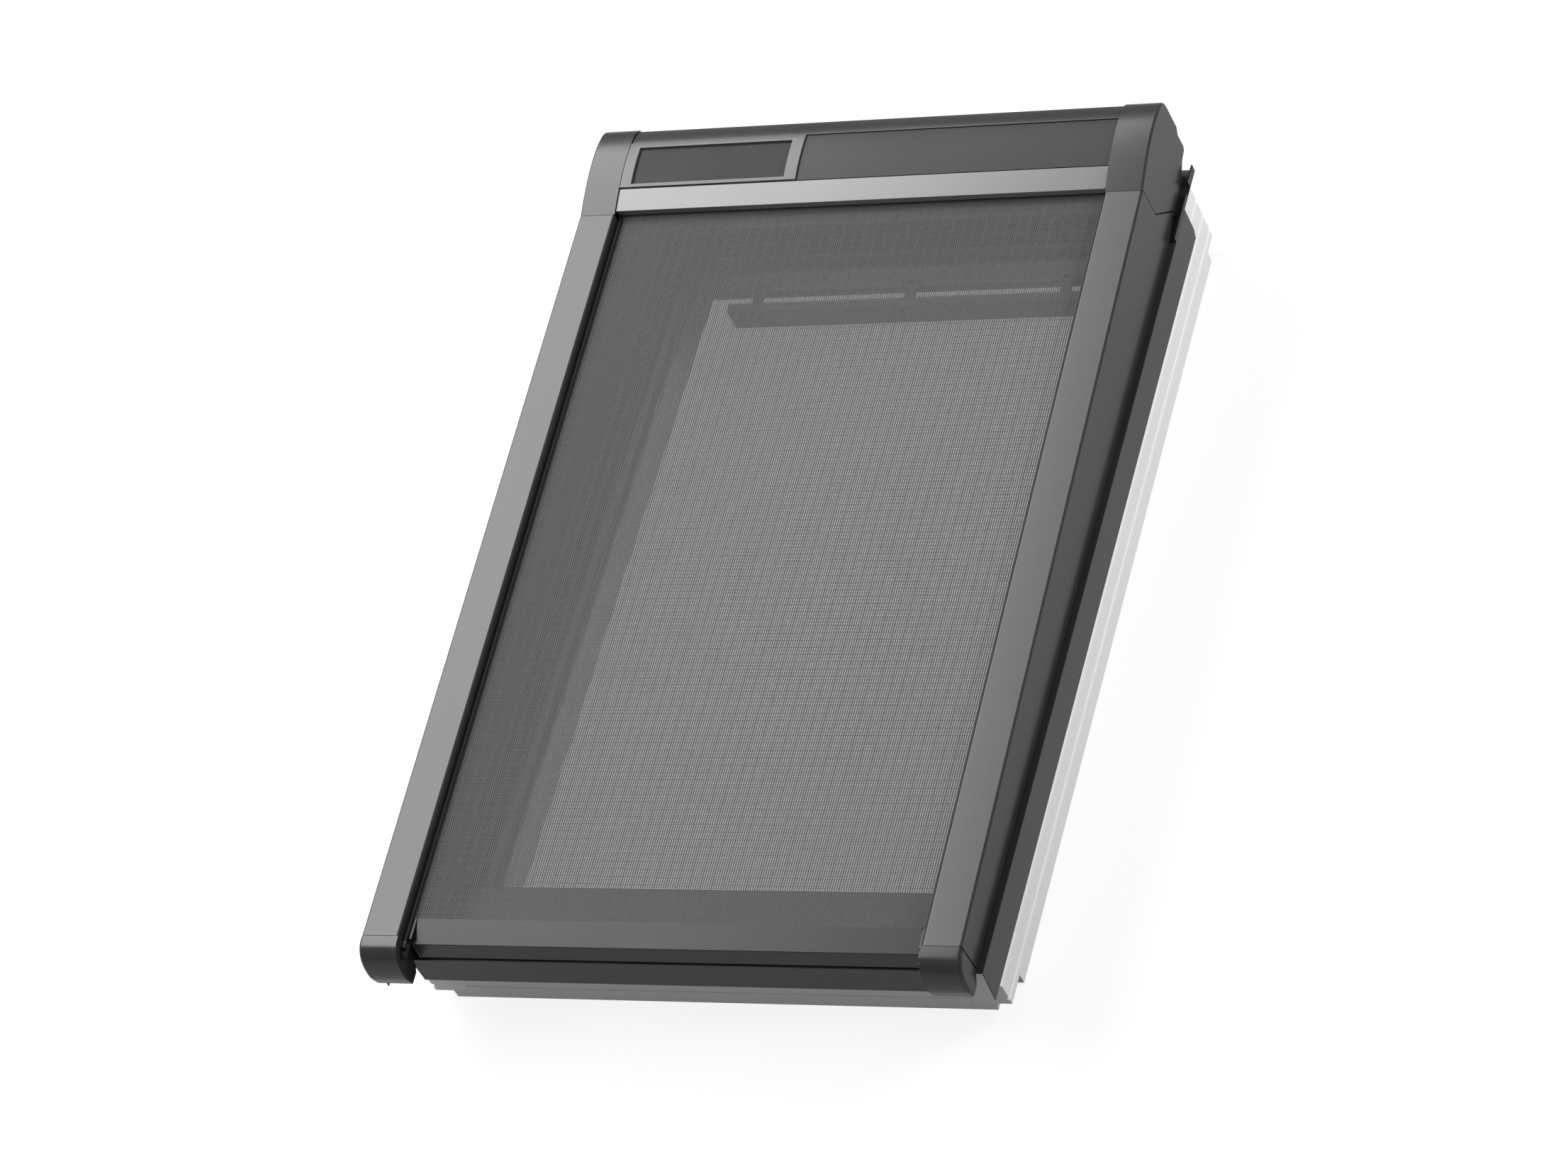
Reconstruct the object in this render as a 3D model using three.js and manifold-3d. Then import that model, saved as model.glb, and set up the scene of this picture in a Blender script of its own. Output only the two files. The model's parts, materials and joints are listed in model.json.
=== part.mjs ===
// Roof window with an outside solar mesh blind. Millimetres; +X right, +Y up the slope,
// +Z outward. The window is drawn on its own axes, with Z = 0 under the frame. The blind's
// rails and head are drawn on axes tilted about X, then set on the window.
import * as THREE from 'three';
import { mergeGeometries, mergeVertices } from 'three/addons/utils/BufferGeometryUtils.js';
import Module from 'manifold-3d';

const wasm = await Module();
wasm.setup();

// Shared fits.
const seatGap = 0.3;          // between pieces that touch
const overrun = 3;            // every cut runs this far past its piece
const weldGap = 0.0003;       // corners nearer than this are one
const roundSteps = 24;
const edgeSteps = 3;
const sharpShare = 0.5;       // limits how far a sharp corner of a sheet runs out

// Window frame (white).
const frameWidth = 780;
const frameLength = 1178;
const frameThick = 50;
const frameDepth = 112;
const frameBottomDepth = 95;
const ridgeInset = 5;         // the ridge that carries the side cover stands in from the frame's faces
const lipHeight = 16.5;       // lower part, notched at the corners
const lipSetback = 2;
const cornerNotchX = 24;
const cornerNotchLow = 40;
const cornerNotchHigh = 29;
const grooveDepth = 2.5;
const grooveHeight = 5;
const grooveLow = 25.5;
const grooveSpacing = 29.5;
const grooveCount = 3;

// Dark covers on the frame.
const coverSheet = 1.5;
const coverReach = 17;        // the side covers stand this far outside the frame
const coverHeight = 34.5;     // and this far above it
const coverLeg = 51.5;
const coverPlay = 3;          // side cover to sash cover
const coverInnerLeg = 15;
const coverLowReach = 39;     // how far the side covers pass the frame's lower end
const coverTipDrop = 5;
const coverHighGap = 10;      // side covers to top cover
const coverNoseLength = 38;   // where the front cover needs the side covers cut back
const topCoverOverlap = 5;
const topCoverSetback = 2;
const bottomCoverLeg = 30;
const coverCropShare = 0.75;  // where the leg's upper end is cut back

// Sash.
const sashGap = 10.9;         // frame to sash, sides
const sashEndGap = 8;         // frame to sash, top and bottom
const sashFloor = 29;
const sashWall = 26.1;        // width of the sash's side members
const sashEndWall = 31;       // and of its top and bottom members
const sashRise = 12;          // sash members above the glass
const sashCoverRise = 13.5;   // second step of the sash cover
const sashCoverTopWidth = 10.5;
const sashCoverInset = 1;
const frontCoverInset = 34;   // front cover's ends, in from the frame's sides
const frontCoverReach = 36;   // front cover's face, out from the frame's lower end
const frontCoverDepth = 26.7;
const frontCoverHeight = 46;
const frontCoverSheet = 1.8;
const frontCoverDrop = 1.8;   // its top below the side covers' top
const frontFlange = 3.3;      // how far its lower flange reaches in under the sash's bottom cover

// Glass.
const glassDrop = 12;         // outer face below the frame's top
const glassPane = 4;
const glassSpace = 16;        // between the two panes
const glassRebate = 14.5;
const glassSpacerWidth = 12;
const glazingRise = 18;       // first step of the sash cover above the glass
const glazingLedge = 13.5;

// Pivots.
const pivotDrop = 32;         // below the frame's top
const pivotRadius = 8;
const pivotClearance = 0.1;
const pivotPlateLength = 120;
const pivotPlateHeight = 46;
const pivotPlateThick = 2.4;

// Ventilation bar inside the sash top.
const barGripHeight = 35;
const barGripThick = 13;
const barGripSideGap = 45;    // ends of the bar to the sash's sides
const barGlassGap = 16;       // bar's top below the inner pane
const barGripOffset = 34;     // clear space between the sash and the bar
const barArmWidth = 14;
const barArmThick = 6;
const barArmShare = 0.86;     // outer arms, as a share of the bar's half length
const barPinRadius = 2.5;
const barPinClearance = 0.1;
const barBarrelRadius = 5;
const barEarThick = 4;
const barStripThick = 2;      // backing strip that joins the hinge ears
const barHingeDrop = 10;      // hinge below the bar's top

// Blind: tilted axes.
const headOverhang = 16.8;    // head's back past the frame's upper end
const seamHeight = 110.7;     // rail top at the head seam, above the side covers
const railReach = 35.66;      // rail's lower end past the frame's

// Blind: side rails.
const railInset = 8.6;        // outer face, in from the side covers' outer face
const railFace = 51.2;
const railSheet = 2.2;
const railBoxGap = 8;         // under the hinge, to the rail's floor
const railRound = 3;
const skirtClearance = 1.5;   // over the window's side covers
const skirtTail = 40;         // the skirt's corner that reaches in under the head
const skirtTailDrop = 3.8;
const skirtSeamGap = 0.45;    // that corner to the head's slanted edge

// Blind: head.
const headLength = 142;
const headRise = 12;
const headLift = 6.7;         // head's lowest line above the side covers
const headSheet = 2.4;
const headSeat = 9;           // underside over the window's covers
const headFaceInset = 2;
const endCapInset = 4;        // how far the mid shell's back stays inside the end caps
const slotHigh = 10;          // the fabric's slot, below the rail top
const slotLow = 24;
const seamSlotGap = 10;       // straight part of the seam, past the hinge
const headTopShares = [[0, 0], [0.09, 0.24], [0.18, 0.46], [0.27, 0.65], [0.35, 0.79], [0.44, 0.91],
  [0.53, 0.98], [0.63, 1], [0.73, 0.95], [0.82, 0.79], [0.89, 0.6], [0.94, 0.36], [0.975, 0.03]];
const headBackShares = [[0.992, -0.04], [1, -0.11], [1, -0.52], [0.957, -0.6], [0.957, -0.83],
  [0.93, -0.88], [0.82, -0.9], [0.63, -1.02]];
const seamTailShare = 0.306;  // how far the slanted part reaches, as a share of the head's length

// Blind: strips, panels and solar cell (places along the head).
const stripStart = 5.5;
const stripEnd = 37;
const stripJoint = 1.5;       // front strip to panels
const topStripSpan = 31.5;
const topStripJoint = 1;      // panels to top strip
const panelSheet = 2.5;
const panelRelief = 1;        // blank panel sits this much below the strips
const bezelLength = 255.9;
const bezelRise = 1.6;
const bezelSide = 16;
const bezelLow = 5;
const bezelHigh = 9;
const cellRelief = 1.6;
const cellSheet = 1.2;
const cellClearance = 0.4;

// Blind: roller.
const rollerBackGap = 57;     // roller's axis to the head's back
const rollerDown = 45;
const tubeRadius = 20;
const tubeSheet = 1.6;
const motorFlange = 5;
const motorFlangeRim = 1.5;
const fabricWrap = 1.4;
const rollerSideGap = 8;      // tube to bulkhead
const plugLength = 14;
const journalRadius = 7.5;
const journalClearance = 0.1;
const crownClearance = 0.3;
const bulkheadSheet = 2.6;
const crownWall = 2.3;        // of the ring between motor and tube
const motorReach = 250;
const batteryLength = 230;
const batteryWidth = 26;
const batteryHeight = 15;
const batteryTopDrop = 1;     // below the rail top
const boardLength = 150;
const boardSheet = 1.6;
const headPartInset = 12;

// Blind: hinge of the rails.
const hingeInner = 30;
const hingeOuter = 42;
const hingePlate = 7;
const hingeGuide = 4;
const hingeClearance = 0.3;
const tongueIntoHead = 36;    // degrees past the seam
const tongueIntoRail = 40;    // degrees
const guideFrom = 4;          // degrees
const hingeSteps = 10;

// Blind: guides, fabric and bar.
const guideReach = 5.7;       // how far the guides stand out of the rails' inner sides
const guideWidth = 14.5;
const guideTop = 11;
const guideHeight = 13;
const guideSheet = 1.6;
const fabricSlotTop = 14;
const fabricSlotHeight = 3;
const fabricSheet = 0.8;
const fabricEdge = 8;         // fabric held inside each guide
const fabricHeadReach = 14;
const fabricBand = 5;         // welded band along each side, kept in by the guide
const fabricBandThick = 2;
const netColumns = 12;
const netRows = 18;
const netOpenShare = 0.44;    // open share of each cell of the net, along and across
const leadSideGap = 6;        // fabric off the roll to bulkhead
const barEndGap = 1.2;        // bar's ridge to the rails' lower end
const barTopRise = 0.3;       // bar's top edge above the fabric's slot
const barClearance = 0.54;    // bar's seal over the front cover
const barRidgeRun = 31;
const barRidgeDrop = 10.2;
const barFrontRun = 2.8;
const barHeight = 37.3;
const barBack = 16;
const barFoot = 20;
const barSheet = 1.8;
const barEndThick = 3.6;
const barSideGap = 0.6;
const tongueReach = 8;
const sealHeight = 2.7;
const sealWidth = 12;

// Blind: rail feet.
const footLength = 35;
const footHeight = 63;
const footProud = 1.5;        // outside the rail's outer face
const footSheet = 2.2;
const footEdge = 5;
const footShares = [[0, 0], [0.26, -0.01], [0.4, -0.03], [0.54, -0.07], [0.68, -0.14], [0.8, -0.23],
  [0.89, -0.34], [0.95, -0.46], [0.99, -0.6], [1, -0.72], [0.98, -0.8], [0.9, -1]];
const footHeelShare = 0.45;
const footClearance = 1.6;    // behind the side covers' lower end
const pinRadius = 4;
const pinReach = 6;
const pinPlace = 14;
const pinDrop = 20;

// Blind: brackets on the window's top corners.
const bracketEndGap = 1;      // to the frame's upper end
const bracketLength = 76;
const bracketWidth = 55;
const bracketSheet = 2.2;
const channelInset = 6.2;     // from the seam
const channelGap = 14;        // channel to trough
const channelHeight = 6.5;
const troughClearance = 5.7;  // behind the head's lower corner
const troughStep = 7;         // the trough's inner wall starts this much later
const troughHeight = 11.8;
const troughWidth = 42;
const padInset = 4;
const padLength = 36;
const padWidth = 37;
const bracketSideGap = 1.1;

// Window, worked out from the sizes above.
const halfFrame = frameWidth / 2;
const endFrame = frameLength / 2;
const coverHalf = halfFrame + coverReach;
const coverTop = frameDepth + coverHeight;
const coverFoot = coverTop - coverLeg;
const coverLowEnd = -endFrame - coverLowReach;
const topCoverInner = endFrame - frameThick - topCoverOverlap;
const coverHighEnd = topCoverInner - coverHighGap;
const sashHalf = halfFrame - frameThick - sashGap;
const sashEnd = endFrame - frameThick - sashEndGap;
const dayHalf = sashHalf - sashWall;
const dayEnd = sashEnd - sashEndWall;
const glassLevel = frameDepth - glassDrop;
const glassStack = glassPane + glassSpace + glassPane;
const glassHalf = dayHalf + glassRebate;
const glassEnd = dayEnd + glassRebate;
const rebateLevel = glassLevel - glassStack - seatGap;
const sashTop = glassLevel + sashRise;
const sashCoverEdge = dayHalf + glazingLedge + sashCoverTopWidth;
const coverInner = sashCoverEdge + coverPlay;
const frontCoverTop = coverTop - frontCoverDrop;
const frontCoverLip = frontCoverTop - frontCoverHeight;
const frontCoverFace = -endFrame - frontCoverReach;
const frontCoverBack = frontCoverFace + frontCoverDepth;
const frontCoverHalf = halfFrame - frontCoverInset;
const pivotLevel = frameDepth - pivotDrop;
const barGripHalf = dayHalf - barGripSideGap;
const barGripTop = glassLevel - glassStack - barGlassGap;
const barHingeLevel = barGripTop - barHingeDrop;

// Blind, worked out the same way.
const seamPlace = endFrame + headOverhang - headLength;
const seamLevel = coverTop + seamHeight;
const barTopDrop = fabricSlotTop - barTopRise;
const railEndHeight = barTopDrop + barHeight + seatGap + sealHeight + barClearance - frontCoverDrop;
const railRun = seamPlace + endFrame + railReach;
const railFall = seamHeight - railEndHeight;
const tilt = Math.atan2(railFall, railRun);
const railLength = Math.hypot(railRun, railFall);
const railHalfOuter = coverHalf - railInset;
const railHalfInner = railHalfOuter - railFace;
const railBox = hingeOuter + railBoxGap;
const railMiddle = (railHalfInner + railHalfOuter) / 2;
const skirtLevel = coverTop + skirtClearance;
const headUnderside = coverTop + headSeat;
const headDepth = seamHeight - headLift;
const headHalf = railHalfInner - seatGap;
const topStripStart = headLength - topStripSpan;
const panelStart = stripEnd + stripJoint;
const panelEnd = topStripStart - topStripJoint;
const bezelEdge = bezelLength - headHalf;
const shelfDrop = batteryHeight + batteryTopDrop;
const bulkheadHalf = headHalf - seatGap - bulkheadSheet;
const rollerHalf = bulkheadHalf - rollerSideGap;
const leadHalf = bulkheadHalf - leadSideGap;
const rollRadius = tubeRadius + fabricWrap;
const plugRadius = tubeRadius - tubeSheet - seatGap;
const motorRadius = plugRadius - crownWall - crownClearance;
const guideInner = railHalfInner - guideReach;
const fabricLevel = -fabricSlotTop - fabricSlotHeight / 2;
const barTopPlace = railLength - barEndGap - barRidgeRun;

// Materials.
const paint = (color, roughness, metalness) => new THREE.MeshStandardMaterial({
  color, roughness, metalness });
const seeThrough = (color, roughness, opacity) => new THREE.MeshStandardMaterial({
  color, roughness, metalness: 0, transparent: true, opacity });
const anthracite = paint(0x5c5e60, 0.55, 0.35);
const anthraciteDark = paint(0x47494b, 0.6, 0.3);
const frameWhite = paint(0xe4e5e3, 0.5, 0);
const blackPlastic = paint(0x1d1e1f, 0.55, 0);
const panelBlack = paint(0x4a4b4d, 0.35, 0.1);
const cellDark = paint(0x30333a, 0.2, 0.1);
const bezelGrey = paint(0x7c7e80, 0.45, 0.35);
const steel = paint(0x9a9c9e, 0.35, 0.9);
const nylon = paint(0xd8d8d4, 0.5, 0);
const rubber = paint(0x151515, 0.8, 0);
const boardGreen = paint(0x2f5d3a, 0.6, 0);
const fabricGrey = seeThrough(0x55575a, 0.85, 0.6);
const clearGlass = seeThrough(0xdfe8e6, 0.05, 0.3);

// Solids.
function solidOf(positions, index) {
  return new wasm.Manifold(new wasm.Mesh({
    numProp: 3,
    vertProperties: new Float32Array(positions),
    triVerts: new Uint32Array(index),
  }));
}

function solid(geometry) {
  geometry.deleteAttribute('normal');
  geometry.deleteAttribute('uv');
  const welded = mergeVertices(geometry, weldGap);
  return solidOf(welded.attributes.position.array, welded.index.array);
}

function geometryOf(body) {
  const data = body.getMesh();
  const geometry = new THREE.BufferGeometry();
  geometry.setAttribute('position', new THREE.BufferAttribute(new Float32Array(data.vertProperties), 3));
  geometry.setIndex(new THREE.BufferAttribute(new Uint32Array(data.triVerts), 1));
  return geometry;
}

// A body moved by a matrix. A mirroring matrix turns faces inside out, so they are turned back.
function moved(body, matrix) {
  const geometry = geometryOf(body).applyMatrix4(matrix);
  const index = Array.from(geometry.index.array);
  return solidOf(geometry.attributes.position.array, matrix.determinant() < 0 ? index.reverse() : index);
}

function blockOf(x, y, z) {
  return new THREE.BoxGeometry(x[1] - x[0], y[1] - y[0], z[1] - z[0])
    .translate((x[0] + x[1]) / 2, (y[0] + y[1]) / 2, (z[0] + z[1]) / 2);
}

const box = (x, y, z) => solid(blockOf(x, y, z));

function drawn(points, length) {
  const shape = new THREE.Shape(points.map(([a, b]) => new THREE.Vector2(a, b)));
  return new THREE.ExtrudeGeometry(shape, { depth: length, bevelEnabled: false });
}

// A (y, z) outline drawn out along X.
function alongX(points, from, to) {
  const turn = new THREE.Matrix4().makeBasis(
    new THREE.Vector3(0, 1, 0), new THREE.Vector3(0, 0, 1), new THREE.Vector3(1, 0, 0));
  return solid(drawn(points, to - from).applyMatrix4(turn).translate(from, 0, 0));
}

// An (x, z) outline drawn out along Y.
function alongY(points, from, to) {
  const turn = new THREE.Matrix4().makeBasis(
    new THREE.Vector3(1, 0, 0), new THREE.Vector3(0, 0, 1), new THREE.Vector3(0, -1, 0));
  return solid(drawn(points, to - from).applyMatrix4(turn).translate(0, to, 0));
}

// An (x, y) outline drawn up along Z.
function alongZ(points, from, to) {
  return solid(drawn(points, to - from).translate(0, 0, from));
}

function rodX(y, z, radius, from, to) {
  const points = [];
  for (let i = 0; i < roundSteps; i += 1) {
    const turn = (2 * Math.PI * i) / roundSteps;
    points.push([y + radius * Math.cos(turn), z + radius * Math.sin(turn)]);
  }
  return alongX(points, from, to);
}

function pipeX(y, z, outer, inner, from, to) {
  return rodX(y, z, outer, from, to).subtract(rodX(y, z, inner, from - overrun, to + overrun));
}

// A corner of an outline moved to the left of its path, between its two neighbours.
function offsetPoint(before, point, after, amount) {
  const one = new THREE.Vector2(point[0] - before[0], point[1] - before[1]);
  const two = new THREE.Vector2(after[0] - point[0], after[1] - point[1]);
  if (one.length() === 0) one.copy(two);
  if (two.length() === 0) two.copy(one);
  one.normalize();
  two.normalize();
  const normal = new THREE.Vector2(-one.y - two.y, one.x + two.x).normalize();
  const spread = amount / Math.max(normal.dot(new THREE.Vector2(-one.y, one.x)), sharpShare);
  return [point[0] + normal.x * spread, point[1] + normal.y * spread];
}

// Closed outline of a sheet that follows a path; the sheet lies to the left of the path.
function ribbon(path, thick) {
  const last = path.length - 1;
  const side = path.map((point, i) => offsetPoint(
    path[Math.max(i - 1, 0)], point, path[Math.min(i + 1, last)], thick));
  return path.concat(side.reverse());
}

// The same sheet to the right of the path.
const ribbonRight = (path, thick) => ribbon(path.slice().reverse(), thick);

// Every corner of an anticlockwise outline moved inwards by the same distance.
function insetLoop(points, amount) {
  const count = points.length;
  return points.map((point, i) => offsetPoint(
    points[(i + count - 1) % count], point, points[(i + 1) % count], amount));
}

const area = (points) => points.reduce((sum, [a, b], i) => {
  const [c, d] = points[(i + 1) % points.length];
  return sum + (a * d - c * b) / 2;
}, 0);
const anticlockwise = (points) => (area(points) > 0 ? points : points.slice().reverse());

// Loft of matching (y, z) outlines placed along X; each outline runs anticlockwise.
function loftX(sections) {
  const count = sections[0].points.length;
  const positions = sections.flatMap(({ x, points }) => points.flatMap(([y, z]) => [x, y, z]));
  const index = [];
  for (let i = 0; i + 1 < sections.length; i += 1) {
    for (let j = 0; j < count; j += 1) {
      const a = i * count + j;
      const b = i * count + ((j + 1) % count);
      index.push(a, b, b + count, a, b + count, a + count);
    }
  }
  const contour = sections[0].points.map(([y, z]) => new THREE.Vector2(y, z));
  const last = (sections.length - 1) * count;
  for (const [a, b, c] of THREE.ShapeUtils.triangulateShape(contour, [])) {
    index.push(c, b, a, last + a, last + b, last + c);
  }
  return solidOf(positions, index);
}

// A closed outline drawn along X with its outer end rounded over.
function roundedEnd(points, from, to, radius) {
  const loop = anticlockwise(points);
  const sections = [{ x: from, points: loop }];
  for (let i = 0; i <= edgeSteps; i += 1) {
    const turn = (Math.PI / 2) * (i / edgeSteps);
    const inset = radius * (1 - Math.cos(turn));
    sections.push({ x: to - radius + radius * Math.sin(turn), points: insetLoop(loop, inset) });
  }
  return loftX(sections);
}

// Points of an arc about the seam's axis, from straight down towards +Y; angles in degrees.
function arcPoints(radius, from, to, steps) {
  return Array.from({ length: steps + 1 }, (_, i) => {
    const turn = THREE.MathUtils.degToRad(from + ((to - from) * i) / steps);
    return [radius * Math.sin(turn), -radius * Math.cos(turn)];
  });
}

const arcBand = (inner, outer, from, to, steps) => [...arcPoints(inner, from, to, steps),
  ...arcPoints(outer, from, to, steps).reverse()];

// Places. The blind's tilted axes start at the seam between its head and its rails.
const mirrorMatrix = new THREE.Matrix4().makeScale(-1, 1, 1);
const mirrored = (body) => moved(body, mirrorMatrix);
const tiltMatrix = new THREE.Matrix4().makeTranslation(0, seamPlace, seamLevel)
  .multiply(new THREE.Matrix4().makeRotationX(tilt));
const onWindow = (body) => moved(body, tiltMatrix);
const below = (level) => box([-frameWidth, frameWidth], [-frameLength, frameLength], [-frameLength, level]);
const towards = (sign, near, far) => (sign < 0 ? [-far, -near] : [near, far]);

const group = new THREE.Group();

function add(name, body, material) {
  const geometry = geometryOf(body).toNonIndexed();
  geometry.computeVertexNormals();
  const piece = new THREE.Mesh(geometry, material);
  piece.name = name;
  group.add(piece);
}

function addPair(name, right, material) {
  add(`${name}_right`, right, material);
  add(`${name}_left`, mirrored(right), material);
}

// Window frame.
function cutGrooves(body, grooveAt) {
  let result = body;
  for (let i = 0; i < grooveCount; i += 1) {
    const low = grooveLow + i * grooveSpacing;
    result = result.subtract(grooveAt([low, low + grooveHeight]));
  }
  return result;
}

function buildFrameSides() {
  const innerFace = halfFrame - frameThick;
  const past = [innerFace - overrun, halfFrame + overrun];
  const lowNotch = box(past, [-endFrame - overrun, -endFrame + cornerNotchLow], [-overrun, lipHeight]);
  const highNotch = box(past, [endFrame - cornerNotchHigh, endFrame + overrun], [-overrun, lipHeight]);
  const ridge = box([innerFace + ridgeInset, halfFrame - ridgeInset],
    [-endFrame + ridgeInset, topCoverInner - seatGap],
    [frameDepth - ridgeInset, coverTop - coverSheet - seatGap]);
  const side = box([innerFace, halfFrame], [-endFrame, endFrame], [0, frameDepth])
    .subtract(lowNotch).subtract(highNotch).add(ridge);
  const grooveX = [halfFrame - grooveDepth, halfFrame + overrun];
  const grooveY = [-endFrame - overrun, endFrame + overrun];
  addPair('frame_side', cutGrooves(side, (levels) => box(grooveX, grooveY, levels)), frameWhite);
}

function buildFrameEnd(name, sign, top, notch) {
  const innerFace = endFrame - frameThick;
  const half = halfFrame - frameThick - seatGap;
  const footHalf = halfFrame - cornerNotchX;
  const core = box([-half, half], towards(sign, innerFace, endFrame), [lipHeight, top]);
  const heel = box([-half, half], towards(sign, innerFace, endFrame - lipSetback), [0, lipHeight]);
  const foot = box([-footHalf, footHalf], towards(sign, endFrame - notch + seatGap, endFrame - lipSetback),
    [0, lipHeight - seatGap]);
  const grooveY = towards(sign, endFrame - grooveDepth, endFrame + overrun);
  add(name, cutGrooves(core.add(heel).add(foot), (levels) => box([-halfFrame, halfFrame], grooveY, levels)),
    frameWhite);
}

function buildPivotPlates() {
  const face = halfFrame - frameThick - seatGap;
  const plate = box([face - pivotPlateThick, face], [-pivotPlateLength / 2, pivotPlateLength / 2],
    [pivotLevel - pivotPlateHeight / 2, pivotLevel + pivotPlateHeight / 2]);
  const bore = rodX(0, pivotLevel, pivotRadius + pivotClearance, sashHalf, halfFrame);
  addPair('pivot_plate', plate.subtract(bore), steel);
}

function buildFrame() {
  buildFrameSides();
  buildFrameEnd('frame_bottom', -1, frameBottomDepth, cornerNotchLow);
  buildFrameEnd('frame_top', 1, frameDepth, cornerNotchHigh);
  buildPivotPlates();
}

// Covers on the frame. The side covers' leg leans forward to a tip at the bottom and is cut
// back at the top, and their nose is open where the sash's front cover passes.
function buildSideCovers() {
  const section = ribbon([[coverHalf, coverFoot], [coverHalf, coverTop], [coverInner, coverTop],
    [coverInner, coverTop - coverInnerLeg]], coverSheet);
  const tip = coverLowEnd - coverTipDrop;
  const past = tip - overrun;
  const lean = [[coverLowEnd, coverTop], [tip, coverFoot], [past, coverFoot - overrun],
    [past, coverTop + overrun], [coverLowEnd, coverTop + overrun]];
  const crop = coverTop - coverLeg * coverCropShare;
  const cropStart = coverHighEnd - coverTipDrop;
  const cutBack = [[coverHighEnd, crop], [cropStart, coverFoot], [cropStart, coverFoot - overrun],
    [coverHighEnd + overrun, coverFoot - overrun], [coverHighEnd + overrun, crop]];
  const nose = box([0, frontCoverHalf + sashCoverInset * 2], [past, coverLowEnd + coverNoseLength],
    [0, coverTop + overrun]);
  addPair('frame_cover_side', alongY(section, tip, coverHighEnd).subtract(alongX(lean, 0, frameWidth))
    .subtract(alongX(cutBack, 0, frameWidth)).subtract(nose), anthracite);
}

function buildTopCover() {
  const outer = endFrame + seatGap + coverSheet;
  const lid = coverTop - coverSheet - seatGap;
  const half = halfFrame - topCoverSetback;
  const path = [[outer, coverFoot], [outer, lid], [topCoverInner, lid],
    [topCoverInner, frameDepth + seatGap]];
  add('frame_cover_top', alongX(ribbon(path, coverSheet), -half, half), anthraciteDark);
}

function buildBottomCover() {
  const low = -endFrame - seatGap;
  const ledge = frameBottomDepth + seatGap;
  const half = halfFrame - frameThick - seatGap;
  const path = [[low, ledge - bottomCoverLeg], [low, ledge], [frameThick - endFrame, ledge]];
  add('frame_cover_bottom', alongX(ribbon(path, coverSheet), -half, half), anthraciteDark);
}

// Sash.
function buildSashSides() {
  const lip = glassHalf + seatGap;
  const section = [[dayHalf, sashFloor], [sashHalf, sashFloor], [sashHalf, sashTop], [lip, sashTop],
    [lip, rebateLevel], [dayHalf, rebateLevel]];
  const pin = rodX(0, pivotLevel, pivotRadius, sashHalf - seatGap, halfFrame - frameThick - seatGap * 2);
  addPair('sash_side', alongY(section, -sashEnd, sashEnd).add(pin), frameWhite);
}

function buildSashEnd(name, sign) {
  const half = dayHalf - seatGap;
  const lip = towards(sign, glassEnd + seatGap, sashEnd);
  const lower = box([-half, half], towards(sign, dayEnd, sashEnd), [sashFloor, rebateLevel]);
  const upper = box([-glassHalf, glassHalf], lip, [rebateLevel + seatGap, sashTop]);
  const web = box([-half, half], lip, [rebateLevel - seatGap, rebateLevel + seatGap * 2]);
  add(name, lower.add(upper).add(web), frameWhite);
}

function buildGlass() {
  const slab = (low, high, inset) => box([inset - glassHalf, glassHalf - inset],
    [inset - glassEnd, glassEnd - inset], [low, high]);
  const innerLow = glassLevel - glassStack;
  const spacerLow = innerLow + glassPane + seatGap;
  const spacerHigh = glassLevel - glassPane - seatGap;
  add('glass_outer', slab(glassLevel - glassPane, glassLevel, 0), clearGlass);
  add('glass_inner', slab(innerLow, innerLow + glassPane, 0), clearGlass);
  add('glass_spacer', slab(spacerLow, spacerHigh, 0)
    .subtract(slab(spacerLow - overrun, spacerHigh + overrun, glassSpacerWidth)), blackPlastic);
}

// The sash cover's steps, from its outer foot in to the glass; offset is the daylight edge.
function coverSteps(offset, far, foot) {
  const first = glassLevel + glazingRise;
  const second = first + sashCoverRise;
  const ledge = offset + glazingLedge;
  return [[far, foot], [far, second], [ledge, second], [ledge, first], [offset, first],
    [offset, glassLevel + seatGap]];
}

function buildSideSashCovers(corner) {
  const cut = corner - seatGap * Math.SQRT2;
  const past = sashCoverEdge + overrun;
  const mitre = (sign) => alongZ([[0, sign * cut], [past, sign * (cut + past)],
    [past, sign * frameLength], [0, sign * frameLength]], 0, frameWidth);
  const path = coverSteps(dayHalf, sashCoverEdge, sashTop + seatGap);
  addPair('sash_cover_side', alongY(ribbon(path, coverSheet), -sashEnd, sashEnd)
    .subtract(mitre(1)).subtract(mitre(-1)), anthracite);
}

// What lies between the two mitres at one end, out to a place past the cover's far edge.
function mitredEnd(corner, sign, far) {
  const edge = sashCoverEdge;
  return alongZ([[0, sign * corner], [edge, sign * (corner + edge)], [edge, sign * (far + overrun)],
    [-edge, sign * (far + overrun)], [-edge, sign * (corner + edge)]], 0, frameWidth);
}

function buildEndSashCovers(corner) {
  const farHigh = dayEnd + glazingLedge + sashCoverTopWidth;
  const highPath = coverSteps(dayEnd, farHigh, sashTop + seatGap);
  add('sash_cover_top', alongX(ribbon(highPath, coverSheet), -sashCoverEdge, sashCoverEdge)
    .intersect(mitredEnd(corner, 1, farHigh)), anthracite);

  const farLow = -frontCoverBack - seatGap;
  const lowPath = coverSteps(dayEnd, farLow, frontCoverLip + frontCoverSheet + seatGap);
  const flipped = ribbon(lowPath, coverSheet).map(([y, z]) => [-y, z]);
  add('sash_cover_bottom', alongX(flipped, -sashCoverEdge, sashCoverEdge)
    .intersect(mitredEnd(corner, -1, farLow)), anthracite);
}

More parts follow.
